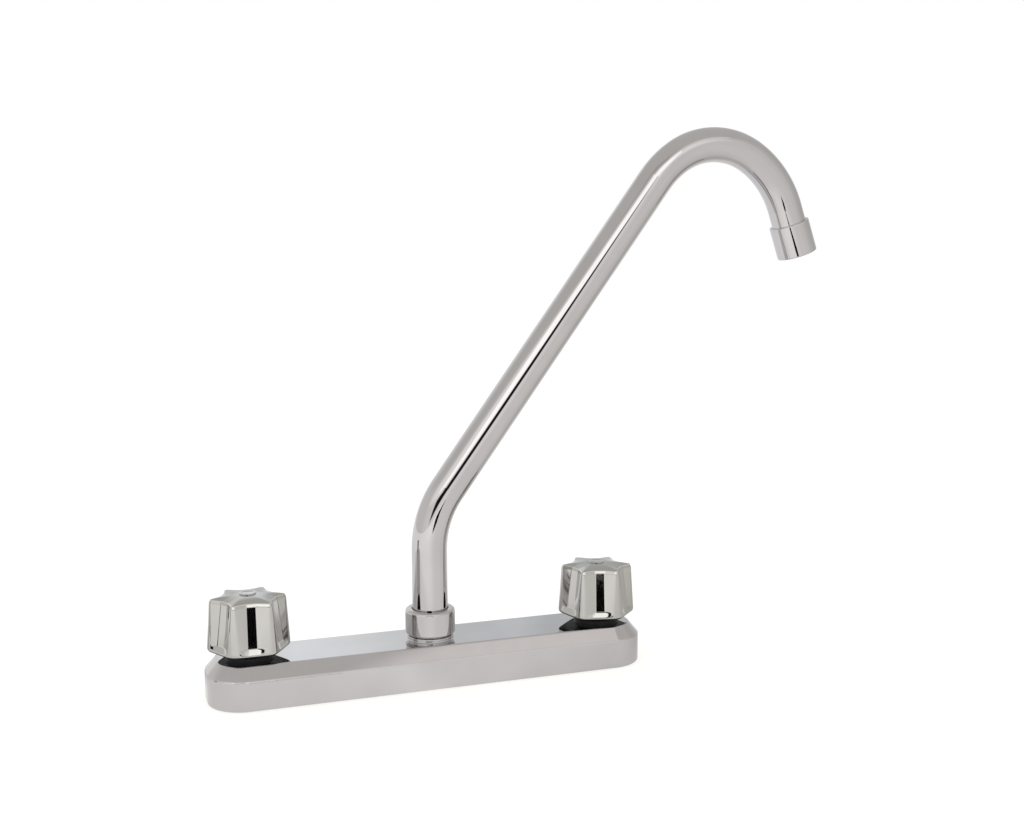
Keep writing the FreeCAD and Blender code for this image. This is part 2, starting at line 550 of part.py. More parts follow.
def make_knob(tag, side, knob_turn):
    knob = new_body(tag + "_knob")
    levels = [("foot", q("knob_bottom")), ("low", q("knob_ramp_z")), ("top", q("knob_crown_z") + 0.6)]
    sections = []
    for level, z in levels:
        sk = new_sketch(knob, tag + "_knob_" + level, "XY_Plane", z)
        lobed_outline(sk, level)
        sections.append(sk)
    doc.recompute()
    loft = knob.newObject("PartDesign::AdditiveLoft", tag + "_knob_lobes")
    loft.Profile = sections[0]
    loft.Sections = sections[1:]
    loft.Ruled = True
    doc.recompute()
    around = new_sketch(knob, tag + "_knob_envelope", "XZ_Plane")
    wide = q("knob_wide_radius") + 3
    polygon(around, [
        (q("knob_foot_radius"), q("knob_bottom") - 1), (q("knob_foot_radius"), q("knob_bottom")),
        (q("knob_wide_radius") - 0.45, q("knob_bottom") + 0.75), (q("knob_wide_radius"), q("knob_wide_z")),
        (q("knob_rim_radius"), q("knob_rim_z")), (q("knob_rim_radius") - 0.45, q("knob_rim_z") + 1.0),
        (q("knob_bevel_radius"), q("knob_bevel_z")), (q("knob_dome_radius"), q("knob_dome_z")),
        (q("knob_dome_radius") * 0.45, q("knob_crown_z")), (0, q("knob_crown_z")), (0, q("knob_crown_z") + 2),
        (wide, q("knob_crown_z") + 2), (wide, q("knob_bottom") - 1)])
    groove(knob, around, tag + "_knob_outside")
    inside = new_sketch(knob, tag + "_knob_inside", "XZ_Plane")
    polygon(inside, [
        (0, q("knob_bottom") - 1), (q("knob_plate_radius") + 0.1, q("knob_bottom") - 1), (q("knob_plate_radius") + 0.1, q("knob_plate_top")),
        (q("cavity_radius"), q("knob_plate_top")),
        (q("cavity_radius"), q("cavity_top")), (q("knob_screw_hole"), q("cavity_top")), (q("knob_screw_hole"), q("button_bore_floor")),
        (q("button_bore"), q("button_bore_floor")), (q("button_bore"), q("knob_crown_z") + 1), (0, q("knob_crown_z") + 1)])
    groove(knob, inside, tag + "_knob_hollow")
    keep(knob, side, knob_turn)
    # dark inner hub: closes the knob's underside and carries the splined socket
    hub = turned(tag + "_knob_hub", [
        (q("hub_recess"), q("knob_bottom")), (q("knob_plate_radius"), q("knob_bottom")),
        (q("knob_plate_radius"), q("knob_plate_top") - q("hub_gap")), (q("cavity_radius") - q("hub_gap"), q("knob_plate_top") - q("hub_gap")),
        (q("cavity_radius") - q("hub_gap"), q("cavity_top") - q("hub_gap")), (q("hub_screw_hole"), q("cavity_top") - q("hub_gap")),
        (q("hub_screw_hole"), q("hub_socket_top")), (q("hub_socket"), q("hub_socket_top")), (q("hub_socket"), q("hub_recess_top")),
        (q("hub_recess"), q("hub_recess_top"))])
    keep(hub, side, knob_turn)
    keep(turned(tag + "_knob_screw", [
        (0, q("kscrew_tip")), (q("kscrew_shank"), q("kscrew_tip")), (q("kscrew_shank"), q("button_bore_floor")),
        (q("kscrew_head"), q("button_bore_floor")), (q("kscrew_head"), q("kscrew_head_top") - 0.5),
        (q("kscrew_head") - 0.6, q("kscrew_head_top")), (0, q("kscrew_head_top"))]), side)
    keep(turned(tag + "_index_button", [
        (0, q("button_bottom")), (q("button_radius"), q("button_bottom")), (q("button_radius"), q("button_edge_z")),
        (q("button_radius") - 0.5, q("button_top")), (q("button_radius") - 1.2, q("button_top")),
        (q("button_radius") - 1.5, q("button_top") - 0.25), (0, q("button_top") - 0.1)]), side)


# ---------------------------------------------------------------- spout foot
def make_spout_foot():
    nut = turned("spout_collar_nut", [
        (q("collar_thread"), q("collar_bottom")), (q("collar_radius"), q("collar_bottom")), (q("collar_radius"), q("collar_top")),
        (q("collar_hole"), q("collar_top")), (q("collar_hole"), q("collar_recess_top")), (q("collar_recess"), q("collar_recess_top")),
        (q("collar_recess"), q("collar_thread_top")), (q("collar_thread"), q("collar_thread_top"))])
    top = fillet(nut, nut.Tip, q("collar_round"), ring_edge(DIMS["collar_top"], DIMS["collar_radius"]), "collar_top_round")
    chamfer(nut, top, q("collar_foot"), ring_edge(DIMS["collar_bottom"], DIMS["collar_radius"]), "collar_foot_bevel")
    keep(nut)
    thrust = ring("spout_thrust_ring", q("ring_in"), q("ring_out"), q("ring_bottom"), q("ring_top"))
    slit = new_sketch(thrust, "thrust_slit", "XY_Plane", q("ring_bottom") - 0.2)
    w = q("ring_slit") * 0.5
    polygon(slit, [(-w, -(q("ring_out") + 1)), (w, -(q("ring_out") + 1)), (w, -(q("ring_in") - 1)), (-w, -(q("ring_in") - 1))])
    pocket(thrust, slit, q("ring_top") - q("ring_bottom") + 0.4, "thrust_slit_cut")
    keep(thrust)
    ga, gb, gh = q("bush_groove_a"), q("bush_groove_b"), q("bush_groove_height")
    keep(turned("spout_bushing", [
        (q("bush_bore"), q("bush_bottom")), (q("bush_radius") - 0.6, q("bush_bottom")), (q("bush_radius"), q("bush_bottom") + 0.8),
        (q("bush_radius"), ga), (q("bush_groove"), ga), (q("bush_groove"), ga + gh), (q("bush_radius"), ga + gh),
        (q("bush_radius"), gb), (q("bush_groove"), gb), (q("bush_groove"), gb + gh), (q("bush_radius"), gb + gh),
        (q("bush_radius"), q("bush_flange_bottom")), (q("bush_flange"), q("bush_flange_bottom")),
        (q("bush_flange"), q("bush_flange_top")), (q("tube_radius") - q("tube_wall"), q("bush_flange_top")),
        (q("tube_radius") - q("tube_wall"), q("bush_top")), (q("bush_bore"), q("bush_top"))]))
    keep(ring("spout_o_ring_lower", q("bush_groove"), q("bush_oring"), ga + 0.05, ga + gh - 0.05))
    keep(ring("spout_o_ring_upper", q("bush_groove"), q("bush_oring"), gb + 0.05, gb + gh - 0.05))


# ---------------------------------------------------------------- spout tube
def make_spout_tube():
    body = new_body("spout_tube")
    spine = new_sketch(body, "spout_centreline", "XZ_Plane")
    letters = "abcdefgh"
    pts = list(PATH[:-1]) + [(DIMS["spine_x_end"], DIMS["spine_z_end"])]
    names = ["spine_%s_" + c for c in letters[:len(PATH) - 1]] + ["spine_%s_end"]
    kinds = ["run", 0, "run", 1, 2, 3, "run"]
    ends = []
    for i, kind in enumerate(kinds):
        a, b = pts[i], pts[i + 1]
        if kind == "run":
            g = spine.addGeometry(Part.LineSegment(V(a[0], a[1], 0), V(b[0], b[1], 0)))
            ends.append((g, 1, 2))
        else:
            cx, cz, r, t0, t1 = ARCS[kind]
            arc = Part.ArcOfCircle(Part.Circle(V(cx, cz, 0), V(0, 0, 1), r), math.pi - t1, math.pi - t0)
            g = spine.addGeometry(arc)
            ends.append((g, 2, 1))
    for i in range(len(kinds) - 1):
        spine.addConstraint(Sketcher.Constraint("Coincident", ends[i][0], ends[i][2], ends[i + 1][0], ends[i + 1][1]))
    for i, (g, start, _) in enumerate(ends):
        pin_point(spine, g, start, q(names[i] % "x"), q(names[i] % "z"))
    pin_point(spine, ends[-1][0], ends[-1][2], q(names[-1] % "x"), q(names[-1] % "z"))
    for kind, alias in ((0, "foot_bend_radius"), (1, "arch_a_radius"), (2, "arch_b_radius"), (3, "arch_c_radius")):
        g = ends[kinds.index(kind)][0]
        c = spine.addConstraint(Sketcher.Constraint("Radius", g, DIMS[alias]))
        spine.setExpression("Constraints[%d]" % c, "dims." + alias)
    section = new_sketch(body, "spout_section", "XY_Plane", q("bush_flange_top"))
    circle(section, 0, 0, q("tube_radius"))
    circle(section, 0, 0, q("tube_radius") - q("tube_wall"))
    doc.recompute()
    pipe = body.newObject("PartDesign::AdditivePipe", "spout_sweep")
    pipe.Profile = section
    pipe.Spine = (spine, ["Edge%d" % (i + 1) for i in range(len(kinds))])
    doc.recompute()
    length = spine.Shape.Length
    area = math.pi * (DIMS["tube_radius"] ** 2 - (DIMS["tube_radius"] - DIMS["tube_wall"]) ** 2)
    print("spout: centreline %.1f, volume %.0f, section times length %.0f" % (length, body.Shape.Volume, area * length))
    if abs(body.Shape.Volume - area * length) > 0.01 * area * length:
        raise RuntimeError("the spout tube's volume is wrong")
    return keep(body)


# ---------------------------------------------------------------- aerator
def at_outlet(body):
    """Stand a piece drawn along its own Z at the end of the spout, pointing out of it."""
    body.Placement = FreeCAD.Placement(V(PATH[-1][0], 0, PATH[-1][1]), FreeCAD.Rotation(V(0, 1, 0), math.degrees(OUTFLOW)))
    body.setExpression("Placement.Base.x", "dims.spine_x_h")
    body.setExpression("Placement.Base.z", "dims.spine_z_h")
    NODES.append(body)


def make_aerator():
    house = turned("aerator_housing", [
        (q("aer_socket"), 0), (q("aer_radius"), 0), (q("aer_radius"), q("aer_length")), (q("aer_lip"), q("aer_length")),
        (q("aer_lip"), q("aer_lip_start")), (q("aer_bore"), q("aer_lip_start")), (q("aer_bore"), q("aer_socket_depth")),
        (q("aer_socket"), q("aer_socket_depth"))])
    f = fillet(house, house.Tip, q("aer_round"), ring_edge(0.0, DIMS["aer_radius"]), "aerator_top_round")
    fillet(house, f, q("aer_round"), ring_edge(DIMS["aer_length"], DIMS["aer_radius"]), "aerator_foot_round")
    at_outlet(house)
    at_outlet(ring("aerator_washer", q("awasher_in"), q("awasher_out"), q("awasher_start"), q("awasher_end")))
    former = turned("aerator_flow_former", [
        (0, q("former_start")), (q("former_radius"), q("former_start")), (q("former_radius"), q("former_end")),
        (q("former_skirt"), q("former_end")), (q("former_skirt"), q("former_plate_end")), (0, q("former_plate_end"))])
    for name, pitch, count in (("outer", "former_pitch_a", "former_count_a"), ("inner", "former_pitch_b", "former_count_b")):
        s = new_sketch(former, "former_hole_" + name, "XY_Plane", q("former_start") - 0.5)
        circle(s, q(pitch), 0, q("former_hole"))
        cut = pocket(former, s, q("former_plate_end") - q("former_start") + 1, "former_cut_" + name)
        p = former.newObject("PartDesign::PolarPattern", "former_pattern_" + name)
        p.Originals = [cut]
        p.Axis = (plane(former, "Z_Axis"), [""])
        p.Angle = 360.0
        p.Occurrences = int(DIMS[count])
        p.setExpression("Occurrences", "dims." + count)
        former.Tip = p
        doc.recompute()
    at_outlet(former)
    # outlet screen: a rim with crossed bars
    screen = new_body("aerator_screen")
    s = new_sketch(screen, "screen_rim", "XY_Plane", q("screen_start"))
    circle(s, 0, 0, q("screen_radius"))
    circle(s, 0, 0, q("screen_rim"))
    pad(screen, s, q("screen_end") - q("screen_start"), "screen_rim_pad")
    w, rim = q("screen_bar") * 0.5, q("screen_rim")
    for k, off in enumerate((-4.8, -2.4, 0.0, 2.4, 4.8)):
        reach = math.sqrt(DIMS["screen_rim"] ** 2 - off ** 2) + 0.4
        for axis in "xy":
            s = new_sketch(screen, "screen_bar_%s%d" % (axis, k), "XY_Plane", q("screen_start"))
            box = [(-reach, w * -1 + off), (reach, w * -1 + off), (reach, w + off), (-reach, w + off)]
            polygon(s, box if axis == "x" else [(b, a) for a, b in box])
            pad(screen, s, (q("screen_end") - q("screen_start")) * 0.5, "screen_bar_pad_%s%d" % (axis, k))
    at_outlet(screen)


make_deck_cover()
make_deck_gasket()
make_waterway()
make_valve("hot", -1, 28.5)
make_valve("cold", 1, 14.5)
make_spout_foot()
make_spout_tube()
make_aerator()
doc.recompute()

# ---------------------------------------------------------------- check, write
for obj in doc.Objects:
    if "Invalid" in obj.State or "Error" in obj.State:
        raise RuntimeError("%s failed: %s" % (obj.Label, obj.State))
if len({n.Label for n in NODES}) != len(NODES):
    raise RuntimeError("two sub-parts share a label")
for node in NODES:
    shape = node.Shape
    if shape.isNull() or not shape.isValid():
        raise RuntimeError("%s has no valid shape" % node.Label)
    if len(shape.Solids) != 1:
        raise RuntimeError("%s has %d solids" % (node.Label, len(shape.Solids)))
for node in NODES:
    node.Shape.exportStep("parts/%s.step" % node.Label)
box = FreeCAD.BoundBox()
for node in NODES:
    box.add(node.Shape.BoundBox)
print("%d sub-parts, box %.1f x %.1f x %.1f" % (len(NODES), box.XLength, box.YLength, box.ZLength))
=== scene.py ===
import bpy
import bmesh
import json
import math
from mathutils import Vector, Matrix


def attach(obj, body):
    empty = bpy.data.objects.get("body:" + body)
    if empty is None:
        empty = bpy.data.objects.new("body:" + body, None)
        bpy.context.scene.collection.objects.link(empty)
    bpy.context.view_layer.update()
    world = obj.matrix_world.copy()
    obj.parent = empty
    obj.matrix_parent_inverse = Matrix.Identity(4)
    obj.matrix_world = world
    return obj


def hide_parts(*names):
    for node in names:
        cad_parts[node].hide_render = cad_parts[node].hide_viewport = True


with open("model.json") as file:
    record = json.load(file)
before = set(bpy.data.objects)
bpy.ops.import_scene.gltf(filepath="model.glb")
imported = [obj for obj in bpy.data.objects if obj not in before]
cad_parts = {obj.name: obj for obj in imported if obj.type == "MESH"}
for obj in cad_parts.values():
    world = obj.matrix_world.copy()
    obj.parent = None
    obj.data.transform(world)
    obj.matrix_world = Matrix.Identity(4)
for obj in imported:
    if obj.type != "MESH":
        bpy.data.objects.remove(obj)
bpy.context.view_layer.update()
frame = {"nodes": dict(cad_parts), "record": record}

NODES = frame["nodes"]
scene = bpy.context.scene
MM = 0.001


# ------------------------------------------------------------------ camera
def make_camera():
    cam = bpy.data.cameras.new("camera")
    cam.sensor_fit = "HORIZONTAL"
    cam.sensor_width = 36.0
    cam.lens = 46.5142
    cam.clip_start = 0.02
    cam.clip_end = 40.0
    obj = bpy.data.objects.new("camera", cam)
    scene.collection.objects.link(obj)
    right = Vector((0.94301217, -0.33275224, -0.00199782))
    up = Vector((0.0492575, 0.13365189, 0.98980345))
    fwd = Vector((0.3290923, 0.93349511, -0.1424259))
    m = Matrix((right, up, -fwd)).transposed().to_4x4()
    m.translation = Vector((-0.19696, -0.69844, 0.25146))
    obj.matrix_world = m
    scene.camera = obj


make_camera()
scene.view_settings.view_transform = "Standard"
scene.view_settings.look = "None"


# ------------------------------------------------------------------ node helper
class Tree:
    def __init__(self, tree):
        self.t = tree
        tree.nodes.clear()

    def add(self, kind, **values):
        n = self.t.nodes.new(kind)
        for k, v in values.items():
            setattr(n, k, v)
        return n

    def link(self, a, b):
        self.t.links.new(a, b)

    def math(self, op, a, b=None, clamp=False):
        n = self.add("ShaderNodeMath", operation=op, use_clamp=clamp)
        for i, v in enumerate((a, b)):
            if v is None:
                continue
            if isinstance(v, (int, float)):
                n.inputs[i].default_value = v
            else:
                self.link(v, n.inputs[i])
        return n.outputs[0]

    def step(self, v, lo, hi, a=0.0, b=1.0):
        n = self.add("ShaderNodeMapRange", interpolation_type="SMOOTHSTEP")
        self.link(v, n.inputs["Value"])
        n.inputs["From Min"].default_value = lo
        n.inputs["From Max"].default_value = hi
        n.inputs["To Min"].default_value = a
        n.inputs["To Max"].default_value = b
        return n.outputs["Result"]

    def ramp(self, v, stops, mode="LINEAR"):
        n = self.add("ShaderNodeValToRGB")
        self.link(v, n.inputs[0])
        cr = n.color_ramp
        cr.interpolation = mode
        while len(cr.elements) > 1:
            cr.elements.remove(cr.elements[-1])
        for i, (p, c) in enumerate(stops):
            e = cr.elements[0] if i == 0 else cr.elements.new(p)
            e.position = p
            e.color = (c[0], c[1], c[2], 1.0) if not isinstance(c, (int, float)) else (c, c, c, 1.0)
        return n.outputs["Color"]

    def mix(self, f, a, b, blend="MIX"):
        n = self.add("ShaderNodeMix", data_type="RGBA", blend_type=blend)
        for s, v in (("Factor", f),):
            if isinstance(v, (int, float)):
                n.inputs[0].default_value = v
            else:
                self.link(v, n.inputs[0])
        for i, v in ((6, a), (7, b)):
            if isinstance(v, tuple):
                n.inputs[i].default_value = (v[0], v[1], v[2], 1.0)
            else:
                self.link(v, n.inputs[i])
        return n.outputs[2]


# ------------------------------------------------------------------ studio
def band(t, v, lo, hi, soft):
    return t.math("MULTIPLY", t.step(v, lo - soft, lo + soft), t.step(v, hi - soft, hi + soft, 1.0, 0.0))


def at(a):
    return (a + 180.0) / 360.0


WALLS = [
    (-180, (0.84, 0.83, 0.80)), (-150, (0.95, 0.94, 0.91)), (-120, (1.06, 1.05, 1.02)), (-95, (1.12, 1.11, 1.09)),
    (-70, (0.92, 0.91, 0.89)), (-45, (0.86, 0.85, 0.82)), (-20, (0.72, 0.71, 0.68)), (10, (0.62, 0.61, 0.58)),
    (35, (0.68, 0.69, 0.69)), (60, (0.66, 0.68, 0.68)), (68.7, (0.65, 0.67, 0.68)), (70.5, (0.76, 0.79, 0.81)),
    (73.0, (0.74, 0.77, 0.78)), (75.4, (0.89, 0.92, 0.93)), (77.0, (0.99, 1.02, 1.03)), (80.0, (1.06, 1.10, 1.12)),
    (84.0, (0.98, 1.01, 1.02)), (92, (0.94, 0.96, 0.96)), (102, (1.00, 1.01, 1.00)), (125, (0.84, 0.83, 0.82)),
    (180, (0.84, 0.83, 0.80))]
# floor tones by bearing, seen only in reflections: painted light and shade on the floor
FLOOR = [
    (-180, (0.92, 0.91, 0.89)), (-150, (0.98, 0.97, 0.95)), (-105, (1.07, 1.06, 1.04)), (-70, (0.96, 0.95, 0.93)),
    (-45, (0.96, 0.95, 0.93)), (-25, (0.90, 0.89, 0.86)), (8, (0.66, 0.65, 0.62)), (35, (0.98, 0.97, 0.95)),
    (70, (0.98, 0.98, 1.00)), (120, (0.90, 0.90, 0.90)), (180, (0.92, 0.91, 0.89))]


def bearing(t, x, y, stops):
    turn = t.math("DIVIDE", t.math("ADD", t.math("MULTIPLY", t.math("ARCTAN2", y, x), 180.0 / math.pi), 180.0), 360.0)
    return t.ramp(turn, [(at(a), c) for a, c in stops], "EASE")


def make_world():
    w = bpy.data.worlds.new("studio")
    scene.world = w
    w.use_nodes = True
    t = Tree(w.node_tree)
    co = t.add("ShaderNodeTexCoord")
    sep = t.add("ShaderNodeSeparateXYZ")
    t.link(co.outputs["Generated"], sep.inputs[0])
    az = t.math("MULTIPLY", t.math("ARCTAN2", sep.outputs[1], sep.outputs[0]), 180.0 / math.pi)
    el = t.math("MULTIPLY", t.math("ARCSINE", sep.outputs[2]), 180.0 / math.pi)
    walls = bearing(t, sep.outputs[0], sep.outputs[1], WALLS)
    behind = band(t, az, 25.0, 170.0, 20.0)
    low = t.math("MULTIPLY", band(t, az, 60.0, 96.0, 3.0), band(t, el, -12.0, 12.0, 3.0))
    walls = t.mix(low, walls, (0.76, 0.77, 0.76))
    raised = t.math("ADD", el, t.math("MULTIPLY", behind, 8.0))
    base = t.mix(t.step(raised, 29.0, 46.0), walls, (0.695, 0.68, 0.65))
    # dim valance above the softbox, the softbox itself, and its dark lower frame
    dim = t.math("MULTIPLY", band(t, az, -142.0, -98.0, 8.0), band(t, el, 44.0, 53.0, 3.0))
    base = t.mix(dim, base, (0.56, 0.55, 0.52))
    glow = t.math("MULTIPLY", band(t, az, -165.0, -62.0, 14.0), band(t, el, 19.0, 40.0, 4.0))
    base = t.mix(glow, base, (1.22, 1.21, 1.17))
    box = t.math("MULTIPLY", band(t, az, -138.0, -82.0, 4.0), band(t, el, 23.0, 37.0, 2.0))
    lit = t.mix(box, base, (1.80, 1.79, 1.76))
    lean = t.math("ADD", el, t.math("MULTIPLY", t.math("ADD", az, 105.0), -0.30))
    frame_bar = t.math("MULTIPLY", band(t, az, -129.0, -94.0, 3.0), band(t, lean, 8.6, 22.6, 1.8))
    dark = t.mix(frame_bar, lit, (0.012, 0.012, 0.012))
    path = t.add("ShaderNodeLightPath")
    seen = t.mix(path.outputs["Is Camera Ray"], dark, (1.0, 1.0, 1.0))
    bg = t.add("ShaderNodeBackground")
    t.link(seen, bg.inputs["Color"])
    bg.inputs["Strength"].default_value = 1.0
    out = t.add("ShaderNodeOutputWorld")
    t.link(bg.outputs[0], out.inputs["Surface"])


make_world()


def make_floor():
    me = bpy.data.meshes.new("floor")
    bm = bmesh.new()
    bmesh.ops.create_grid(bm, x_segments=4, y_segments=4, size=6.0)
    bm.to_mesh(me)
    bm.free()
    ob = bpy.data.objects.new("floor", me)
    ob.location = (0.0, 0.0, -0.0003)
    scene.collection.objects.link(ob)
    mat = bpy.data.materials.new("floor_paper")
    mat.use_nodes = True
    t = Tree(mat.node_tree)
    p = t.add("ShaderNodeBsdfPrincipled")
    p.inputs["Base Color"].default_value = (0.62, 0.62, 0.62, 1.0)
    p.inputs["Roughness"].default_value = 0.9
    p.inputs["Specular IOR Level"].default_value = 0.0
    p.inputs["Emission Color"].default_value = (1.0, 0.99, 0.975, 1.0)
    p.inputs["Emission Strength"].default_value = 0.62
    # the camera sees the plain floor; reflections see these tones, tuned for the photo's view
    co = t.add("ShaderNodeNewGeometry")
    sep = t.add("ShaderNodeSeparateXYZ")
    t.link(co.outputs["Position"], sep.inputs[0])
    tone = t.add("ShaderNodeEmission")
    # painted shadow: a dark patch on the floor behind the base, seen only in reflections
    far = t.math("DIVIDE", t.math("SUBTRACT", sep.outputs[1], 0.092), 0.062)
    side = t.math("DIVIDE", t.math("ADD", sep.outputs[0], 0.040), 0.27)
    spread = t.math("SQRT", t.math("ADD", t.math("MULTIPLY", far, far), t.math("MULTIPLY", side, side)))
    # painted light: away from the base the reflected floor is brighter towards -x and dimmer towards +x
    across = t.math("ADD", t.math("MULTIPLY", sep.outputs[0], 0.8), 0.5)
    fall = t.ramp(across, [(0.20, (1.22, 1.22, 1.22)), (0.34, (1.15, 1.15, 1.15)), (0.46, (1.05, 1.05, 1.05)), (0.58, (1.0, 1.0, 1.0)), (0.74, (0.96, 0.96, 0.95))])
    half_x = t.math("MULTIPLY", sep.outputs[0], 0.5)
    reach = t.math("SQRT", t.math("ADD", t.math("MULTIPLY", half_x, half_x), t.math("MULTIPLY", sep.outputs[1], sep.outputs[1])))
    out_there = t.step(reach, 0.125, 0.19)
    shade = t.mix(t.step(spread, 1.25, 0.55), bearing(t, sep.outputs[0], sep.outputs[1], FLOOR), (0.56, 0.55, 0.54))
    shade = t.mix(out_there, shade, t.mix(1.0, shade, fall, "MULTIPLY"))
    t.link(shade, tone.inputs["Color"])
    path = t.add("ShaderNodeLightPath")
    both = t.add("ShaderNodeMixShader")
    t.link(path.outputs["Is Camera Ray"], both.inputs[0])
    t.link(tone.outputs[0], both.inputs[1])
    t.link(p.outputs[0], both.inputs[2])
    out = t.add("ShaderNodeOutputMaterial")
    t.link(both.outputs[0], out.inputs["Surface"])
    me.materials.append(mat)


make_floor()


def card(name, corners, color, glow=0.0, fade=None):
    """Studio card that only the plating shows: a dark flag, or a white bounce with a glow."""
    me = bpy.data.meshes.new(name)
    me.from_pydata(corners, [], [(0, 1, 2, 3)])
    ob = bpy.data.objects.new(name, me)
    scene.collection.objects.link(ob)
    mat = bpy.data.materials.new(name + "_cloth")
    mat.use_nodes = True
    t = Tree(mat.node_tree)
    if glow:
        p = t.add("ShaderNodeEmission")
        p.inputs["Strength"].default_value = glow
    else:
        p = t.add("ShaderNodeBsdfDiffuse")
    p.inputs["Color"].default_value = color
    if fade:
        co = t.add("ShaderNodeTexCoord")
        sep = t.add("ShaderNodeSeparateXYZ")
        t.link(co.outputs["Object"], sep.inputs[0])
        x = t.math("ADD", sep.outputs[0], t.math("MULTIPLY", t.math("ADD", sep.outputs[1], 0.398), fade[2]))
        t.link(t.mix(t.step(x, fade[0], fade[1]), (0.695, 0.68, 0.65), color[:3]), p.inputs["Color"])
    out = t.add("ShaderNodeOutputMaterial")
    t.link(p.outputs[0], out.inputs["Surface"])
    me.materials.append(mat)
    ob.visible_camera = False
    ob.visible_diffuse = False
    ob.visible_shadow = False


BLACK = (0.004, 0.004, 0.004, 1.0)
# low flag in front, which the front flutes of both knobs mirror
card("flag", [(-0.084, -0.560, 0.0), (0.050, -0.560, 0.0), (0.050, -0.560, 0.062), (-0.084, -0.560, 0.062)], BLACK)
# thin flag to the left, for the left flute of the hot knob
card("rod", [(-0.318, 0.000, 0.0), (-0.318, 0.046, 0.0), (-0.318, 0.046, 0.050), (-0.318, 0.000, 0.050)], BLACK)
# bounce overhead, which the front slope of the base mirrors over its right two thirds
card("bounce", [(0.060, -0.480, 0.70), (0.520, -0.480, 0.70), (0.520, -0.340, 0.70), (0.060, -0.340, 0.70)],
     (0.98, 0.945, 0.915, 1.0), 1.0, (0.085, 0.185, -3.0))


# ------------------------------------------------------------------ materials
def chrome(name, tint, rough=0.035, marks=0.05, soften=0.0):
    mat = bpy.data.materials.new(name)
    mat.use_nodes = True
    t = Tree(mat.node_tree)
    co = t.add("ShaderNodeTexCoord")
    p = t.add("ShaderNodeBsdfPrincipled")
    p.inputs["Metallic"].default_value = 1.0
    haze = t.add("ShaderNodeTexNoise")
    haze.inputs["Scale"].default_value = 38.0
    haze.inputs["Detail"].default_value = 5.0
    t.link(co.outputs["Object"], haze.inputs["Vector"])
    dark = tuple(c * (1.0 - marks) for c in tint)
    col = t.ramp(haze.outputs["Fac"], [(0.35, dark), (0.62, tint)])
    t.link(col, p.inputs["Base Color"])
    wipe = t.add("ShaderNodeTexNoise")
    wipe.inputs["Scale"].default_value = 90.0
    wipe.inputs["Detail"].default_value = 6.0
    wipe.inputs["Distortion"].default_value = 0.6
    t.link(co.outputs["Object"], wipe.inputs["Vector"])
    rg = t.ramp(wipe.outputs["Fac"], [(0.40, rough * 0.7), (0.60, rough), (0.72, rough * 2.0)])
    t.link(rg, p.inputs["Roughness"])
    if soften:
        worn = t.add("ShaderNodeBevel")
        worn.samples = 6
        worn.inputs["Radius"].default_value = soften
        t.link(worn.outputs[0], p.inputs["Normal"])
    out = t.add("ShaderNodeOutputMaterial")
    t.link(p.outputs[0], out.inputs["Surface"])
    return mat


def plain(name, color, rough, metallic=0.0, grain=600.0, depth=0.15, spread=0.25):
    mat = bpy.data.materials.new(name)
    mat.use_nodes = True
    t = Tree(mat.node_tree)
    co = t.add("ShaderNodeTexCoord")
    p = t.add("ShaderNodeBsdfPrincipled")
    p.inputs["Metallic"].default_value = metallic
    n = t.add("ShaderNodeTexNoise")
    n.inputs["Scale"].default_value = grain
    n.inputs["Detail"].default_value = 6.0
    t.link(co.outputs["Object"], n.inputs["Vector"])
    lo = tuple(c * (1.0 - spread) for c in color)
    hi = tuple(min(1.0, c * (1.0 + spread)) for c in color)
    t.link(t.ramp(n.outputs["Fac"], [(0.3, lo), (0.7, hi)]), p.inputs["Base Color"])
    t.link(t.ramp(n.outputs["Fac"], [(0.3, rough * 0.85), (0.7, min(1.0, rough * 1.15))]), p.inputs["Roughness"])
    b = t.add("ShaderNodeBump")
    b.inputs["Strength"].default_value = depth
    b.inputs["Distance"].default_value = 0.0002
    t.link(n.outputs["Fac"], b.inputs["Height"])
    t.link(b.outputs[0], p.inputs["Normal"])
    out = t.add("ShaderNodeOutputMaterial")
    t.link(p.outputs[0], out.inputs["Surface"])
    return mat


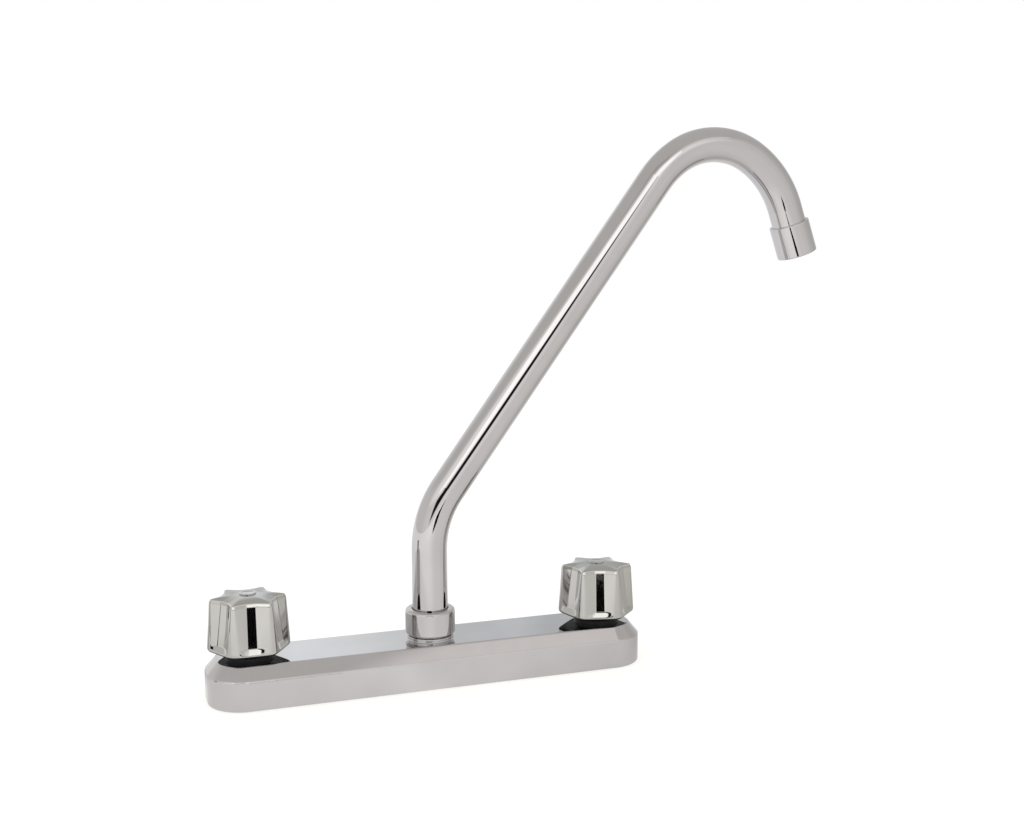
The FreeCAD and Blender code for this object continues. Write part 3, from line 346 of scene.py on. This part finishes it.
def chrome_knob(name, tint):
    """Plated moulding whose downward-facing faces are drawn black."""
    mat = chrome(name, tint, 0.045, 0.05)
    t = mat.node_tree
    out = [n for n in t.nodes if n.type == "OUTPUT_MATERIAL"][0]
    plated = [n for n in t.nodes if n.type == "BSDF_PRINCIPLED"][0]
    face_down_black = t.nodes.new("ShaderNodeBsdfPrincipled")
    face_down_black.inputs["Base Color"].default_value = (0.008, 0.008, 0.009, 1.0)
    face_down_black.inputs["Roughness"].default_value = 0.5
    face_down_black.inputs["Specular IOR Level"].default_value = 0.2
    geo = t.nodes.new("ShaderNodeNewGeometry")
    sep = t.nodes.new("ShaderNodeSeparateXYZ")
    t.links.new(geo.outputs["Normal"], sep.inputs[0])
    under = t.nodes.new("ShaderNodeMapRange")
    t.links.new(sep.outputs[2], under.inputs["Value"])
    under.inputs["From Min"].default_value = -0.42
    under.inputs["From Max"].default_value = -0.34
    under.inputs["To Min"].default_value = 0.0
    under.inputs["To Max"].default_value = 1.0
    # painted light and shade by how far a face looks up: a painted highlight lighter on the rim, painted shade darker
    # on the crown
    base = plated.inputs["Base Color"].links[0].from_socket
    ramp = t.nodes.new("ShaderNodeValToRGB")
    stops = [(0.0, 1.0), (0.45, 1.0), (0.56, 1.60), (0.70, 1.60), (0.90, 0.90), (1.0, 0.84)]
    while len(ramp.color_ramp.elements) < len(stops):
        ramp.color_ramp.elements.new(0.5)
    for e, (pos, v) in zip(ramp.color_ramp.elements, stops):
        e.position = pos
        e.color = (v, v, v, 1.0)
    t.links.new(sep.outputs[2], ramp.inputs[0])
    times = t.nodes.new("ShaderNodeVectorMath")
    times.operation = "MULTIPLY"
    t.links.new(base, times.inputs[0])
    t.links.new(ramp.outputs[0], times.inputs[1])
    base = times.outputs[0]
    t.links.new(base, plated.inputs["Base Color"])
    both = t.nodes.new("ShaderNodeMixShader")
    t.links.new(under.outputs["Result"], both.inputs[0])
    t.links.new(face_down_black.outputs[0], both.inputs[1])
    t.links.new(plated.outputs[0], both.inputs[2])
    t.links.new(both.outputs[0], out.inputs["Surface"])
    return mat


M = {
    "chrome_plate": chrome("chrome_plate", (0.554, 0.537, 0.546)),
    "chrome_cover": chrome("chrome_cover", (0.554, 0.537, 0.546), soften=0.0014),
    "chrome_knob": chrome_knob("chrome_knob", (0.510, 0.502, 0.482)),
    "brass": plain("brass", (0.62, 0.45, 0.18), 0.34, 1.0, 420.0, 0.25),
    "black_rubber": plain("black_rubber", (0.02, 0.02, 0.02), 0.75, 0.0, 900.0, 0.3),
    "black_plastic": plain("black_plastic", (0.010, 0.010, 0.012), 0.42, 0.0, 1200.0, 0.2),
    "white_plastic": plain("white_plastic", (0.78, 0.78, 0.75), 0.4, 0.0, 700.0, 0.1, 0.06),
    "stainless": plain("stainless", (0.56, 0.56, 0.55), 0.25, 1.0, 500.0, 0.15, 0.1),
}
SLOT = {}
for s in frame["record"]["subparts"]:
    SLOT[s["node"]] = s["material_slot"]
for n in M["black_plastic"].node_tree.nodes:
    if n.type == "BSDF_PRINCIPLED":
        n.inputs["Specular IOR Level"].default_value = 0.25
for name, ob in NODES.items():
    ob.data.materials.clear()
    ob.data.materials.append(M["chrome_cover" if name == "deck_cover" else SLOT[name]])

# ------------------------------------------------------------------ knobs
def lobed_ring(tip, rho, floor, half=2.75, n=64):
    """One closed outline: six rounded lobes and six flat-floored flutes, the first flute along +X (millimetres)."""
    c30 = math.cos(math.radians(30))
    cu, cv = (tip - rho) * 0.5, (tip - rho) * c30
    du, dv = cu - half, cv - floor
    s = math.atan2(dv, du) + math.asin(rho / math.hypot(du, dv))
    path = []
    for i in range(17):
        f = math.radians(-30) + (s + math.radians(30)) * i / 16
        path.append((-cu + rho * math.sin(f), cv + rho * math.cos(f)))
    path += [(-half, floor), (half, floor)]
    for i in range(17):
        f = -s + (s + math.radians(30)) * i / 16
        path.append((cu + rho * math.sin(f), cv + rho * math.cos(f)))
    run = [0.0]
    for p, q in zip(path, path[1:]):
        run.append(run[-1] + math.hypot(q[0] - p[0], q[1] - p[1]))
    sector, k = [], 0
    for i in range(n):
        d = run[-1] * i / n
        while run[k + 1] < d:
            k += 1
        f = (d - run[k]) / (run[k + 1] - run[k])
        sector.append((path[k][0] + (path[k + 1][0] - path[k][0]) * f, path[k][1] + (path[k + 1][1] - path[k][1]) * f))
    ring = []
    for j in range(6):
        a = math.radians(60 * j)
        for u, v in sector:
            ring.append(Vector((v * math.cos(a) - u * math.sin(a), v * math.sin(a) + u * math.cos(a))))
    for _ in range(2):
        ring = [(ring[i - 1] + ring[i] * 2 + ring[(i + 1) % len(ring)]) / 4 for i in range(len(ring))]
    return ring


def inset_ring(ring, d):
    out, n = [], len(ring)
    for i, p in enumerate(ring):
        e = (ring[(i + 1) % n] - ring[i - 1]).normalized()
        out.append(p + Vector((-e.y, e.x)) * d)
    return out


def between(table, z):
    for (za, a), (zb, b) in zip(table, table[1:]):
        if z <= zb:
            f = max(0.0, (z - za) / (zb - za))
            return a + (b - a) * f
    return table[-1][1]


TIP = [(27.8, 22.2), (29.9, 22.2), (33.0, 22.0), (54.4, 20.65)]
ROUND = [(27.8, 5.8), (29.9, 5.6), (33.0, 5.0), (54.4, 2.2)]
RAMP = [(27.8, 20.1), (29.2, 19.98), (29.6, 19.86), (30.4, 19.47), (31.4, 18.98), (31.8, 18.78), (32.2, 18.60), (32.6, 18.47),
        (33.0, 18.40), (54.4, 15.63)]
FOOT = [(27.8, 20.4), (27.85, 20.65), (28.0, 21.0), (28.2, 21.33), (28.5, 21.7), (28.9, 22.0), (29.3, 22.15), (29.9, 22.2), (99, 22.2)]
EDGE = [(54.4, 0.0), (54.55, 0.02), (54.75, 0.08), (55.0, 0.18), (55.45, 0.375), (55.9, 0.57), (56.1, 0.67), (56.25, 0.80),
        (56.38, 1.00), (56.46, 1.25), (56.52, 1.55)]


def make_knob(tag, x, turn):
    rings = []
    for z in (27.8, 27.85, 28.0, 28.2, 28.5, 28.9, 29.2, 29.4, 29.6, 29.9, 30.4, 30.9, 31.4, 31.6, 31.8, 32.0, 32.2, 32.4, 32.6, 32.8, 33.0,
              33.4, 34.0, 36.0, 39.0, 42.0, 45.0, 48.0, 51.0, 53.0, 54.0):
        k = between(FOOT, z) / 22.2
        rings.append([(p * k, z) for p in lobed_ring(between(TIP, z), between(ROUND, z), between(RAMP, z))])
    base = lobed_ring(TIP[-1][1], ROUND[-1][1], RAMP[-1][1])
    for z, d in EDGE:
        rings.append([(p, z) for p in inset_ring(base, d)])
    rim = [p for p, z in rings[-1]]
    bore = 4.62
    for f in (0.04, 0.10, 0.18, 0.28, 0.40, 0.52, 0.64, 0.76, 0.88, 0.96, 1.0):
        rings.append([(p.lerp(p.normalized() * bore, f), 56.52 + 1.42 * (1 - (1 - f) ** 2)) for p in rim])
    for r, z in ((bore, 52.5), (1.9, 52.5), (1.9, 49.0), (12.6, 49.0), (12.6, 28.8), (18.1, 28.8), (18.1, 27.8)):
        rings.append([(p.normalized() * r, z) for p in rim])
    n = len(rim)
    c, s = math.cos(math.radians(turn)), math.sin(math.radians(turn))
    verts = [((x + p.x * c - p.y * s) * MM, (p.x * s + p.y * c) * MM, z * MM) for ring in rings for p, z in ring]
    faces = []
    for j in range(len(rings)):
        k = (j + 1) % len(rings)
        for i in range(n):
            m = (i + 1) % n
            faces.append((j * n + i, j * n + m, k * n + m, k * n + i))
    me = bpy.data.meshes.new(tag + "_knob_shell")
    me.from_pydata(verts, [], faces)
    me.update()
    me.shade_smooth()
    me.set_sharp_from_angle(angle=math.radians(38))
    me.materials.append(M["chrome_knob"])
    ob = bpy.data.objects.new(tag + "_knob_shell", me)
    scene.collection.objects.link(ob)
    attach(ob, tag + "_handle")
    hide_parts(tag + "_knob")
    return ob


make_knob("hot", -101.6, 28.5)
make_knob("cold", 101.6, 14.5)
